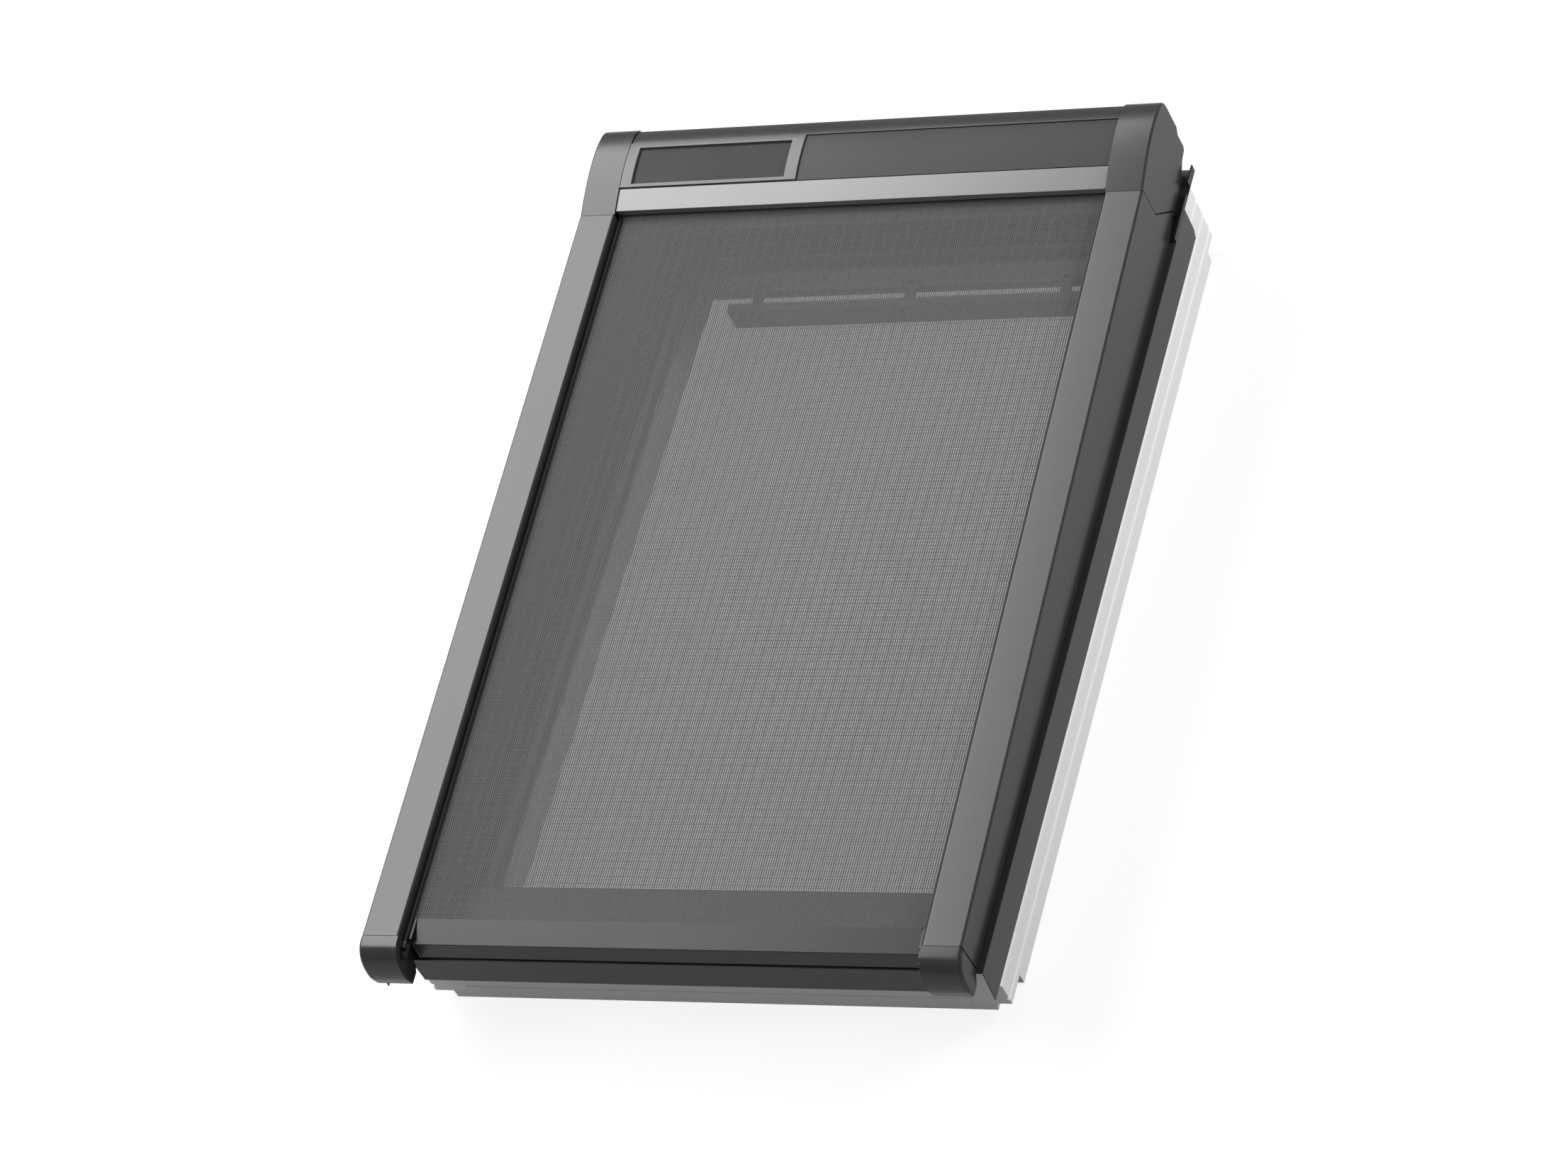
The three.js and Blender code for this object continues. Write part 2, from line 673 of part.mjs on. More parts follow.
function buildFrontCover() {
  const path = [[frontCoverBack, frontCoverTop], [frontCoverFace, frontCoverTop],
    [frontCoverFace, frontCoverLip], [frontCoverBack + frontFlange, frontCoverLip]];
  add('front_cover', alongX(ribbon(path, frontCoverSheet), -frontCoverHalf, frontCoverHalf),
    anthraciteDark);
}

function buildSash() {
  const corner = dayEnd - dayHalf;
  buildSashSides();
  buildSashEnd('sash_bottom', -1);
  buildSashEnd('sash_top', 1);
  buildGlass();
  buildSideSashCovers(corner);
  buildEndSashCovers(corner);
  buildFrontCover();
}

// Ventilation bar: a grip on three arms that turn on pins between the hinge's ears.
const ventHingeY = dayEnd - barStripThick - barBarrelRadius - seatGap * 2;
const ventArms = [0, barGripHalf * barArmShare, -barGripHalf * barArmShare]
  .map((x) => [x - barArmWidth / 2, x + barArmWidth / 2]);

function buildVentGrip() {
  const back = dayEnd - barGripOffset;
  const armZ = [barHingeLevel - barArmThick / 2, barHingeLevel + barArmThick / 2];
  const boreRadius = barPinRadius + barPinClearance;
  let bar = box([-barGripHalf, barGripHalf], [back - barGripThick, back],
    [barGripTop - barGripHeight, barGripTop]);
  for (const span of ventArms) {
    const bore = rodX(ventHingeY, barHingeLevel, boreRadius, span[0] - overrun, span[1] + overrun);
    bar = bar.add(box(span, [back - barGripThick / 2, ventHingeY], armZ))
      .add(rodX(ventHingeY, barHingeLevel, barBarrelRadius, ...span)).subtract(bore);
  }
  add('control_bar', bar, bezelGrey);
}

function buildVentHinges() {
  const levels = [barHingeLevel - barBarrelRadius, barHingeLevel + barBarrelRadius];
  const earReach = seatGap + barEarThick;
  const half = barGripHalf * barArmShare + barArmWidth / 2 + earReach;
  const seat = dayEnd - seatGap;
  let hinge = box([-half, half], [seat - barStripThick, seat], levels);
  for (const [from, to] of ventArms) {
    hinge = hinge.add(rodX(ventHingeY, barHingeLevel, barPinRadius, from - earReach, to + earReach));
    for (const start of [from - earReach, to + seatGap]) {
      hinge = hinge.add(box([start, start + barEarThick], [ventHingeY - barBarrelRadius, seat], levels));
    }
  }
  add('control_bar_hinges', hinge, steel);
}

// Blind: outlines of the head.
const headTop = headTopShares.map(([a, b]) => [a * headLength, b * headRise]);
const headTopEnd = headTop[headTop.length - 1];
const seamSlot = hingeOuter + seamSlotGap;
const seamTail = seamTailShare * headLength;
const headOutline = [...headTop, ...headBackShares.map(([a, b]) => [a * headLength, b * headDepth]),
  [seamTail, -headDepth], [0, -seamSlot]];

// Height of the head's curved face at a place along it.
function faceAt(y) {
  for (let i = 0; i + 1 < headTop.length; i += 1) {
    const [a, b] = [headTop[i], headTop[i + 1]];
    if (y <= b[0]) return a[1] + ((b[1] - a[1]) * (y - a[0])) / (b[0] - a[0]);
  }
  return headTopEnd[1];
}

function facePath(from, to, relief) {
  const middle = headTop.map(([y]) => y).filter((y) => y > from + overrun && y < to - overrun);
  return [from, ...middle, to].map((y) => [y, faceAt(y) - relief]);
}

const slab = (from, to, relief, thick) => [...facePath(from, to, relief),
  ...facePath(from, to, relief + thick).reverse()];

function buildHeadCaps() {
  const opening = [[-overrun, -headSheet], [headSheet * 2, -headSheet],
    [headSheet * 2, headSheet - seamSlot], [-overrun, headSheet - seamSlot]];
  const cavity = insetLoop(anticlockwise(headOutline), headSheet);
  const innerFace = railHalfOuter - headSheet;
  const cut = (outline) => alongX(outline, railHalfInner - overrun, innerFace);
  const guide = (inner) => alongX(
    arcBand(inner, inner + hingeGuide, guideFrom, tongueIntoRail, hingeSteps),
    railMiddle - hingePlate, innerFace + seatGap);
  const cap = roundedEnd(headOutline, railHalfInner, railHalfOuter, railRound)
    .subtract(cut(cavity)).subtract(cut(opening))
    .add(guide(hingeInner - hingeClearance - hingeGuide)).add(guide(hingeOuter + hingeClearance));
  addPair('head_cap', onWindow(cap).subtract(below(headUnderside)), anthracite);
}

// Levels of the ledges under the panels' edges.
const ledgeDrop = headFaceInset + panelRelief + panelSheet + seatGap;
const highLedge = faceAt(panelEnd) - ledgeDrop;
const lowLedge = faceAt(panelStart) - ledgeDrop;

const shellBack = headBackShares.map(([a, b]) => [
  a * headLength - endCapInset, b * (headDepth - endCapInset)]);
const shellOutline = [
  ...facePath(topStripStart, headTopEnd[0] - endCapInset / 2, headFaceInset), ...shellBack,
  [seamTail + endCapInset, endCapInset - headDepth], [endCapInset, endCapInset / 2 - seamSlot],
  [endCapInset, -slotLow]];
const shelfBack = shellBack[1][0] - headSheet / 2;

function buildHeadShell() {
  const ledge = [[panelEnd - headPartInset / 2, highLedge], [topStripStart, highLedge]];
  const shell = ribbonRight([...ledge, ...shellOutline], headSheet);
  const shelfFront = shelfBack - batteryWidth - headPartInset;
  const shelfBottom = -shelfDrop - panelSheet / 2;
  const shelf = [[shelfBack, -shelfDrop], [shelfBack, shelfBottom], [shelfFront, shelfBottom],
    [shelfFront, -shelfDrop]];
  add('head_shell', onWindow(alongX(shell, -headHalf, headHalf).add(alongX(shelf, -headHalf, headHalf))),
    anthracite);
}

function buildFrontStrip() {
  const path = [[stripStart, -slotHigh], ...facePath(stripStart, stripEnd, headFaceInset),
    [stripEnd, lowLedge], [panelStart + headPartInset / 2, lowLedge]];
  add('head_front_strip', onWindow(alongX(ribbonRight(path, headSheet), -headHalf, headHalf)), anthracite);
}

function buildPanels() {
  const relief = headFaceInset + panelRelief;
  const blank = slab(panelStart, panelEnd, relief, panelSheet);
  add('blank_panel', onWindow(alongX(blank, bezelEdge + seatGap, headHalf)), panelBlack);

  const cellX = [bezelSide - headHalf, bezelEdge - bezelSide - bezelRise];
  const cellY = [panelStart + bezelLow, panelEnd - bezelHigh];
  const floor = relief + cellRelief / 2 + cellSheet;
  const above = headRise * 2;
  const pocket = [...facePath(...cellY, floor + seatGap), [cellY[1], above], [cellY[0], above]];
  const bezelThick = panelSheet + panelRelief + bezelRise;
  const bezel = slab(panelStart, panelEnd, headFaceInset - bezelRise, bezelThick);
  add('solar_bezel', onWindow(alongX(bezel, -headHalf, bezelEdge)
    .subtract(alongX(pocket, ...cellX))), bezelGrey);

  const cell = slab(cellY[0] + cellClearance, cellY[1] - cellClearance, floor - cellSheet, cellSheet);
  add('solar_cell', onWindow(alongX(cell, cellX[0] + cellClearance, cellX[1] - cellClearance)), cellDark);
}

function buildHeadParts() {
  const shelfTop = seatGap - shelfDrop;
  const trayBack = shelfBack - headPartInset / 2;
  const trayY = [trayBack - batteryWidth, trayBack];
  const batteryStart = headPartInset - headHalf;
  const boardEnd = headHalf - headPartInset;
  add('battery_pack', onWindow(box([batteryStart, batteryStart + batteryLength], trayY,
    [shelfTop, shelfTop + batteryHeight])), blackPlastic);
  add('control_board', onWindow(box([boardEnd - boardLength, boardEnd], trayY,
    [shelfTop, shelfTop + boardSheet])), boardGreen);
}

function buildHead() {
  buildHeadCaps();
  buildHeadShell();
  buildFrontStrip();
  buildPanels();
  buildHeadParts();
}

// Blind: roller.
const rollerY = headLength - rollerBackGap;
const rollerZ = -rollerDown;

function buildBulkheads() {
  const inside = insetLoop(anticlockwise(shellOutline), headSheet + seatGap);
  const aboveShelf = box([0, frameWidth], [-frameLength, frameLength],
    [-shelfDrop - headSheet - seatGap, frameWidth]);
  const plate = alongX(inside, bulkheadHalf, bulkheadHalf + bulkheadSheet).subtract(aboveShelf);
  const bore = rodX(rollerY, rollerZ, journalRadius + journalClearance, 0, frameWidth);
  add('bulkhead_right', onWindow(plate.subtract(bore)), steel);
  add('bulkhead_left', onWindow(mirrored(plate)), steel);
}

function buildRoller() {
  const motorStart = seatGap - bulkheadHalf;
  const wrapHalf = leadHalf - seatGap * 2;
  const rod = (radius, from, to) => rodX(rollerY, rollerZ, radius, from, to);
  const pipe = (outer, inner, from, to) => onWindow(pipeX(rollerY, rollerZ, outer, inner, from, to));
  add('motor', onWindow(rod(motorRadius, motorStart, motorStart + motorReach)
    .add(rod(motorRadius + motorFlangeRim, motorStart, motorStart + motorFlange))), blackPlastic);
  add('roller_tube', pipe(tubeRadius, tubeRadius - tubeSheet, -rollerHalf, rollerHalf), steel);
  add('roller_crown', pipe(plugRadius, motorRadius + crownClearance, -rollerHalf, plugLength - rollerHalf),
    nylon);
  add('roller_idler', onWindow(rod(plugRadius, rollerHalf - plugLength, rollerHalf)
    .add(rod(journalRadius, rollerHalf - seatGap, bulkheadHalf + bulkheadSheet))), nylon);
  add('fabric_roll', pipe(rollRadius, tubeRadius + seatGap, -wrapHalf, wrapHalf), fabricGrey);
}

// The fabric leaves the roll on its outer side and runs straight to the slot.
function buildFabricLead() {
  const slotY = fabricHeadReach + seatGap;
  const clear = rollRadius + seatGap + fabricSheet / 2;
  const away = Math.hypot(rollerY - slotY, rollerZ - fabricLevel);
  const heading = Math.atan2(rollerZ - fabricLevel, rollerY - slotY) + Math.asin(clear / away);
  const run = Math.sqrt(away * away - clear * clear);
  const end = [slotY + run * Math.cos(heading), fabricLevel + run * Math.sin(heading)];
  const half = fabricSheet / 2;
  const off = [-Math.sin(heading) * half, Math.cos(heading) * half];
  add('fabric_lead', onWindow(alongX([[slotY, fabricLevel - half], [end[0] - off[0], end[1] - off[1]],
    [end[0] + off[0], end[1] + off[1]], [slotY, fabricLevel + half]], -leadHalf, leadHalf)), fabricGrey);
}

// Blind: side rails. Each is a bent sheet: skirt, rounded top and short inner side.
const overCovers = (body) => onWindow(body).subtract(below(skirtLevel));

function roundCorner(x, sign) {
  return Array.from({ length: edgeSteps + 1 }, (_, i) => {
    const turn = (Math.PI / 2) * (i / edgeSteps);
    return [x + sign * railRound * (Math.cos(turn) - 1), railRound * (Math.sin(turn) - 1)];
  });
}

function buildRailSheets() {
  const path = [[railHalfOuter, -headDepth - railBox], ...roundCorner(railHalfOuter, 1),
    ...roundCorner(railHalfInner, -1).reverse(), [railHalfInner, seatGap - guideTop]];
  const casing = alongY(ribbon(path, railSheet), -railLength, -seatGap);
  const slant = (headDepth - seamSlot) / seamTail;
  const start = -skirtSeamGap;
  const low = -headDepth - skirtTailDrop;
  const tail = alongX([[start - overrun, -seamSlot], [start, -seamSlot],
    [start + skirtTail, -seamSlot - skirtTail * slant], [start + skirtTail / 2, -headDepth],
    [start, low], [start - overrun, low]], railHalfOuter - railSheet, railHalfOuter);
  addPair('rail', overCovers(casing.add(tail)), anthracite);
}

function buildGuides() {
  const run = [-railLength, -seatGap * 2];
  const bottom = -guideTop - guideHeight;
  const channel = box([guideInner, guideInner + guideWidth], run, [bottom, -guideTop]);
  const slot = box([guideInner - overrun, guideInner + fabricEdge + overrun],
    [-railLength - overrun, overrun], [-fabricSlotTop - fabricSlotHeight, -fabricSlotTop]);
  const web = box([railHalfInner, railHalfInner + guideSheet], run, [-railBox, bottom + guideSheet]);
  const floor = box([railHalfInner, railHalfOuter - railSheet - seatGap], run,
    [-railBox, guideSheet - railBox]);
  addPair('rail_guide', overCovers(channel.subtract(slot).add(web).add(floor)), blackPlastic);
}

function buildHinges() {
  const plate = [railMiddle - hingePlate / 2, railMiddle + hingePlate / 2];
  const band = arcBand(hingeInner, hingeOuter, -tongueIntoRail, tongueIntoHead, hingeSteps * 2);
  const tongue = alongX(band, ...plate);
  const far = Math.sin(THREE.MathUtils.degToRad(tongueIntoRail)) * hingeInner;
  const post = box(plate, [-far - hingePlate, -far], [-hingeInner, -railSheet - seatGap]);
  addPair('rail_hinge', onWindow(tongue.add(post)), nylon);
}

function buildFeet() {
  const heel = -railLength - seatGap;
  const outline = [...footShares.map(([a, b]) => [heel - a * footLength, b * footHeight]),
    [heel - footHeelShare * footLength, -footHeight], [heel, -railBox]];
  const hollow = insetLoop(anticlockwise(outline), footSheet);
  const mouth = [[heel - footSheet * 2, -footSheet], [heel + overrun, -footSheet],
    [heel + overrun, footSheet - railBox], [heel - footSheet * 2, footSheet - railBox]];
  const cut = (points) => alongX(points, railHalfInner + footSheet, railHalfOuter - footSheet);
  const boss = box([guideInner, railHalfInner + footSheet / 2],
    [heel - pinPlace + pinRadius + seatGap * 2, heel], [-guideTop - guideHeight, -guideTop]);
  const cover = box([0, frameWidth], [coverLowEnd - footClearance, frameLength], [0, skirtLevel]);
  addPair('rail_foot', onWindow(roundedEnd(outline, railHalfInner, railHalfOuter + footProud, footEdge)
    .subtract(cut(hollow)).subtract(cut(mouth)).add(boss)).subtract(cover), anthracite);
  const pinEnd = railHalfInner - seatGap;
  addPair('foot_pin', onWindow(rodX(heel - pinPlace, -pinDrop, pinRadius, pinEnd - pinReach, pinEnd)), nylon);
}

function buildRails() {
  buildRailSheets();
  buildGuides();
  buildHinges();
  buildFeet();
}

// Blind: fabric, drawn as a plain net with two welded side bands.
function netOpenings(start, levels) {
  const pitchX = (2 * guideInner) / netColumns;
  const pitchY = -start / netRows;
  const gap = (middle, open) => [middle - open / 2, middle + open / 2];
  const openings = [];
  for (let i = 0; i < netColumns; i += 1) {
    for (let j = 0; j < netRows; j += 1) {
      const x = gap(pitchX * (i + 1 / 2) - guideInner, pitchX * netOpenShare);
      const y = gap(pitchY * (j + 1 / 2) + start, pitchY * netOpenShare);
      openings.push(blockOf(x, y, levels));
    }
  }
  return solid(mergeGeometries(openings));
}

function buildFabric() {
  const half = guideInner + fabricEdge;
  const along = [seatGap - barTopPlace, fabricHeadReach];
  const levels = (thick) => [fabricLevel - thick / 2, fabricLevel + thick / 2];
  const band = box([half - fabricBand, half], along, levels(fabricBandThick));
  const net = box([-half, half], along, levels(fabricSheet)).add(band).add(mirrored(band))
    .subtract(netOpenings(along[0], levels(fabricBandThick)));
  add('fabric_screen', onWindow(net), fabricGrey);
}

// Blind: bottom bar.
function buildBar() {
  const top = [-barTopPlace, -barTopDrop];
  const ridge = [top[0] - barRidgeRun, top[1] - barRidgeDrop];
  const foot = [ridge[0] - barFrontRun, top[1] - barHeight];
  const outline = anticlockwise([top, ridge, foot, [foot[0] + barFoot, foot[1]],
    [top[0], top[1] - barBack]]);
  const endOuter = guideInner - barSideGap;
  const endInner = endOuter - barEndThick;
  const half = endInner - seatGap;
  add('bar_profile', onWindow(alongX(outline, -half, half)
    .subtract(alongX(insetLoop(outline, barSheet), -half - overrun, half + overrun))), anthracite);

  const slide = fabricSlotHeight / 2 - seatGap;
  const tongue = box([endInner, guideInner + tongueReach], [ridge[0] + barFrontRun, top[0] - barFrontRun],
    [fabricLevel - slide, fabricLevel + slide]);
  addPair('bar_end', onWindow(alongX(outline, endInner, endOuter).add(tongue)), anthraciteDark);

  const sealY = foot[0] + barFoot / 2;
  const sealTop = foot[1] - seatGap;
  add('bar_seal', onWindow(box([-half, half], [sealY - sealWidth / 2, sealY + sealWidth / 2],
    [sealTop - sealHeight, sealTop])), rubber);
}

// Blind: brackets on the window's top corners.
function buildBrackets() {
  const end = endFrame - bracketEndGap;
  const inner = coverHalf - bracketWidth;
  const start = end - bracketLength;
  const headHeel = seamPlace + headBackShares[headBackShares.length - 1][0] * headLength;
  const troughStart = headHeel + troughClearance;
  const channel = [seamPlace + channelInset, troughStart - channelGap];
  const floor = coverTop + seatGap;
  const base = floor + bracketSheet;
  const wall = [coverHalf - bracketSheet, coverHalf];
  const innerWall = [coverHalf - troughWidth, coverHalf - troughWidth + bracketSheet];
  const padX = inner + padInset;
  const padY = start + padInset;
  const bracket = box([inner, coverHalf], [start, end], [floor, base])
    .add(box([railHalfOuter + bracketSideGap, coverHalf], channel, [floor, base]))
    .add(box(wall, channel, [floor, floor + channelHeight]))
    .add(box(wall, [troughStart, end], [floor, floor + troughHeight]))
    .add(box(innerWall, [troughStart + troughStep, end], [floor, floor + troughHeight]))
    .add(box([padX, padX + padWidth], [padY, padY + padLength], [floor, headUnderside - seatGap]));
  addPair('top_bracket', bracket, anthraciteDark);
}

buildFrame();
buildSideCovers();
buildTopCover();
buildBottomCover();
buildSash();
buildVentGrip();
buildVentHinges();
buildBrackets();
buildHead();
buildBulkheads();
buildRoller();
buildFabricLead();
buildRails();
buildFabric();
buildBar();

// The origin sits under the middle of the whole part.
const bounds = new THREE.Box3().setFromObject(group);
const middleY = (bounds.min.y + bounds.max.y) / 2;
for (const piece of group.children) piece.geometry.translate(0, -middleY, 0);

export default group;
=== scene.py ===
"""Looks of the roof window with its outside mesh blind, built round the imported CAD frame.

Units are metres in the frame's own axes: +X right, +Y up the slope, +Z outward.
"""

import json
import math

import bmesh
import bpy
from mathutils import Matrix, Vector


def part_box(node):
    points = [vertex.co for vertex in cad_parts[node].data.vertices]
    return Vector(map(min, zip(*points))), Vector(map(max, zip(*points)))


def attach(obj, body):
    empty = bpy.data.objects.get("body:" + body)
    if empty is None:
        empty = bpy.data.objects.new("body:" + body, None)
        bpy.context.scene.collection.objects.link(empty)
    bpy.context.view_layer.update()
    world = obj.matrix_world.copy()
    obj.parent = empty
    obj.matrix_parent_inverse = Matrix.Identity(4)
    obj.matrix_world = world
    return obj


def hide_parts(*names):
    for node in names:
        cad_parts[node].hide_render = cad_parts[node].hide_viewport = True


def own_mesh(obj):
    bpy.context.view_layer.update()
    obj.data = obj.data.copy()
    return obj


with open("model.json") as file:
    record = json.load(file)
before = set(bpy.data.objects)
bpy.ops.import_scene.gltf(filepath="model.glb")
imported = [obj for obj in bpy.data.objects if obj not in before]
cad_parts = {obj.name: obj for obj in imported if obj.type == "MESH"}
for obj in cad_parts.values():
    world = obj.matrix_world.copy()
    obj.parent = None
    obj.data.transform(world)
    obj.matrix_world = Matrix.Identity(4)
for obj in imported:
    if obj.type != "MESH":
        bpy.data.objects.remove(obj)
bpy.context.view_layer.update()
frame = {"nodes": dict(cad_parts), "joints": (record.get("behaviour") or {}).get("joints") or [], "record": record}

MM = 0.001
X_AXIS = Vector((1, 0, 0))

# The camera, solved from the photograph's straight edges in the CAD source's own coordinates.
# There the seam of the rails with the head lies at SOLVED_SEAM_Y, so the camera follows it.
PHOTO_WIDTH = 2212
PHOTO_FOCAL = 7521.08
SENSOR = 36.0
VIEW_REACH = 100
CAMERA_RIGHT = Vector((0.90356639, 0.24414637, -0.35207999))
CAMERA_UP = Vector((0.01106551, 0.80818438, 0.58882558))
CAMERA_BACK = Vector((0.42830518, -0.53593894, 0.72754664))
CAMERA_PLACE = Vector((2854.10, -3639.26, 4993.68)) * MM
SOLVED_SEAM_Y = 463.8 * MM

# The rails rise towards the head: how far, over how much of their run.
RAIL_RISE = 57.96
RAIL_RUN = 1088.46
TILT = math.atan2(RAIL_RISE, RAIL_RUN)

# Easing of the rigid pieces.
EDGE_SEGMENTS = 2
SMOOTH_ANGLE = math.radians(32)
FLAT_ANGLE = math.radians(0.5)
WELD = 0.01 * MM
NORMAL_WEIGHT = 60

# The mesh fabric: pitch and size of its threads, every fifth one wider both ways.
WARP_PITCH = 3.05 * MM
WEFT_PITCH = 2.1 * MM
WARP_WIDTH = 1.8 * MM
WEFT_WIDTH = 1.1 * MM
WARP_THICK = 0.42 * MM
WEFT_THICK = WARP_THICK * 0.8
RIB_EVERY = 5
WARP_RIB = 0.45 * MM
WEFT_RIB = 0.38 * MM

# The flat screen, measured along the rails from the seam and outward from it.
SCREEN_LOW = -1057.5 * MM
SCREEN_HIGH = 14 * MM
SCREEN_LEVEL = -15.5 * MM

# The mesh left on the roller: the roll's build-up, its turns, and its facets in a turn.
ROLL_THICK = 1.0 * MM
ROLL_TURNS = 2
ROLL_FACETS = 48

# The studio.
FLOOR_HALF = 12
FLOOR_DROP = 0.5 * MM
FLOOR_GREY = (0.16, 0.16, 0.16, 1)
FLOOR_ROUGHNESS = 0.9
FLOOR_GLOW = 0.86
FLOOR_IN_GLOSS = 0.5
SKY_LIGHT = 0.36
KEY_LAMP = {"place": (-3.0, 1.2, 3.2), "facing": (0, 0, -1), "size": (3.9, 5.4), "power": 405}
SIDE_LAMP = {"place": (2.55, 1.05, 1.3), "facing": (-0.77, -0.54, -0.36), "size": (0.7, 1.2),
             "power": 56, "mirrored": False}


def joint_named(name):
    return next(joint for joint in frame["joints"] if joint["name"] == name)


def add_object(name, data):
    thing = bpy.data.objects.new(name, data)
    bpy.context.scene.collection.objects.link(thing)
    return thing


# Materials: relief heights, the scale and detail of the noise, and where its ramps begin and end.
GRAIN_HEIGHT = 0.05 * MM
BRUSH_HEIGHT = 0.03 * MM
SLOW_SCALE = 7.0
SLOW_DETAIL = 4.0
BRUSH_SCALE = 600
BRUSH_DETAIL = 4.0
BRUSH_STRETCH = (0.04, 1, 1)
HAZE_SCALE = 12.0
YARN_SCALE = 1500
SMOOTH_DETAIL = 2.0
RAMP_LOW = 0.3
RAMP_HIGH = 0.7


def new_material(name):
    material = bpy.data.materials.new(name)
    material.use_nodes = True
    nodes = material.node_tree.nodes
    return material, nodes, material.node_tree.links, nodes["Principled BSDF"]


def object_noise(nodes, links, scale, detail=3.0, stretch=(1, 1, 1)):
    place = nodes.new("ShaderNodeTexCoord")
    mapping = nodes.new("ShaderNodeMapping")
    mapping.inputs["Scale"].default_value = stretch
    noise = nodes.new("ShaderNodeTexNoise")
    noise.inputs["Scale"].default_value = scale
    noise.inputs["Detail"].default_value = detail
    links.new(place.outputs["Object"], mapping.inputs["Vector"])
    links.new(mapping.outputs["Vector"], noise.inputs["Vector"])
    return noise


def ramp(nodes, links, source, low, high):
    node = nodes.new("ShaderNodeValToRGB")
    node.color_ramp.elements[0].position = RAMP_LOW
    node.color_ramp.elements[1].position = RAMP_HIGH
    node.color_ramp.elements[0].color = low
    node.color_ramp.elements[1].color = high
    links.new(source, node.inputs["Fac"])
    return node


def shade(colour, factor):
    return (colour[0] * factor, colour[1] * factor, colour[2] * factor, 1)


def grey(value):
    return (value, value, value, 1)


def add_bump(nodes, links, shader, height, distance, strength):
    bump = nodes.new("ShaderNodeBump")
    bump.inputs["Strength"].default_value = strength
    bump.inputs["Distance"].default_value = distance
    links.new(height, bump.inputs["Height"])
    links.new(bump.outputs["Normal"], shader.inputs["Normal"])


def coated(name, colour, roughness, grain=900, bump=0.12, spread=0.1, specular=0.5, speck=0.14):
    """A painted, anodised or moulded surface: fine grain, slow change of tone and of gloss."""
    material, nodes, links, shader = new_material(name)
    fine = object_noise(nodes, links, grain)
    slow = object_noise(nodes, links, SLOW_SCALE, SLOW_DETAIL)
    slowly = slow.outputs["Fac"]
    tone = ramp(nodes, links, slowly, shade(colour, 1 - spread), shade(colour, 1 + spread))
    dots = ramp(nodes, links, fine.outputs["Fac"], grey(1 - speck), grey(1 + speck))
    mix = nodes.new("ShaderNodeMix")
    mix.data_type = "RGBA"
    mix.blend_type = "MULTIPLY"
    mix.inputs["Factor"].default_value = 1
    links.new(tone.outputs["Color"], mix.inputs["A"])
    links.new(dots.outputs["Color"], mix.inputs["B"])
    links.new(mix.outputs["Result"], shader.inputs["Base Color"])
    gloss = ramp(nodes, links, slowly, grey(roughness * 0.92), grey(roughness * 1.08))
    links.new(gloss.outputs["Color"], shader.inputs["Roughness"])
    shader.inputs["Specular IOR Level"].default_value = specular
    add_bump(nodes, links, shader, fine.outputs["Fac"], GRAIN_HEIGHT, bump)
    return material


def brushed(name, colour, roughness):
    """Metal with fine marks along X."""
    material, nodes, links, shader = new_material(name)
    marks = object_noise(nodes, links, BRUSH_SCALE, BRUSH_DETAIL, BRUSH_STRETCH).outputs["Fac"]
    tone = ramp(nodes, links, marks, shade(colour, 0.85), shade(colour, 1.12))
    links.new(tone.outputs["Color"], shader.inputs["Base Color"])
    gloss = ramp(nodes, links, marks, grey(roughness * 0.8), grey(roughness * 1.2))
    links.new(gloss.outputs["Color"], shader.inputs["Roughness"])
    shader.inputs["Metallic"].default_value = 1
    add_bump(nodes, links, shader, marks, BRUSH_HEIGHT, 0.15)
    return material


def clear_glass():
    """Clear panes; the low index leaves them almost without reflections."""
    material, nodes, links, shader = new_material("float_glass")
    haze = object_noise(nodes, links, HAZE_SCALE, SMOOTH_DETAIL).outputs["Fac"]
    tone = ramp(nodes, links, haze, (0.829, 0.837, 0.834, 1), (0.837, 0.844, 0.842, 1))
    links.new(tone.outputs["Color"], shader.inputs["Base Color"])
    shader.inputs["Roughness"].default_value = 0.0
    shader.inputs["IOR"].default_value = 1.12
    shader.inputs["Transmission Weight"].default_value = 1.0
    return material


def thread():
    """Coated yarn, slightly ribbed."""
    material, nodes, links, shader = new_material("coated_yarn")
    fine = object_noise(nodes, links, YARN_SCALE, SMOOTH_DETAIL).outputs["Fac"]
    tone = ramp(nodes, links, fine, grey(0.06), grey(0.088))
    links.new(tone.outputs["Color"], shader.inputs["Base Color"])
    shader.inputs["Roughness"].default_value = 0.7
    shader.inputs["Specular IOR Level"].default_value = 0.2
    shader.inputs["Sheen Weight"].default_value = 0.1
    add_bump(nodes, links, shader, fine, GRAIN_HEIGHT, 0.4)
    return material


# Colours are linear red, green and blue.
PAINT = (0.025, 0.0253, 0.0258)
DARK_PAINT = (0.02, 0.0205, 0.021)
WHITE = (0.8, 0.8, 0.795)
# A darker copy of WHITE: painted shade on the sash's reveal inside the window.
SHADED_SASH_WHITE = (0.5, 0.5, 0.495)
ZINC = (0.5, 0.51, 0.52)
BLACK = (0.012, 0.012, 0.013)
PANEL_BLACK = (0.026, 0.0262, 0.0268)
CELL_BLACK = (0.024, 0.0242, 0.025)
ANODISED = (0.065, 0.0655, 0.066)
BOARD_GREEN = (0.02, 0.09, 0.035)
PALE_NYLON = (0.6, 0.6, 0.57)
NYLON_BLACK = (0.02, 0.02, 0.021)
# Lighter than the black rubber of the seal: painted light in the shaded gap under the bar.
SEAL_PAINTED_LIGHT_GREY = (0.12, 0.12, 0.122)
# Three times lighter than PAINT on the same anthracite strip: painted sheen over the strip's satin gloss.
PAINTED_SHEEN_GREY = (0.075, 0.076, 0.078)
GRIP_GREY = (0.3, 0.302, 0.305)
WHITE_COAT = {"grain": 300, "bump": 0.02, "spread": 0.01, "specular": 0.3, "speck": 0.01}

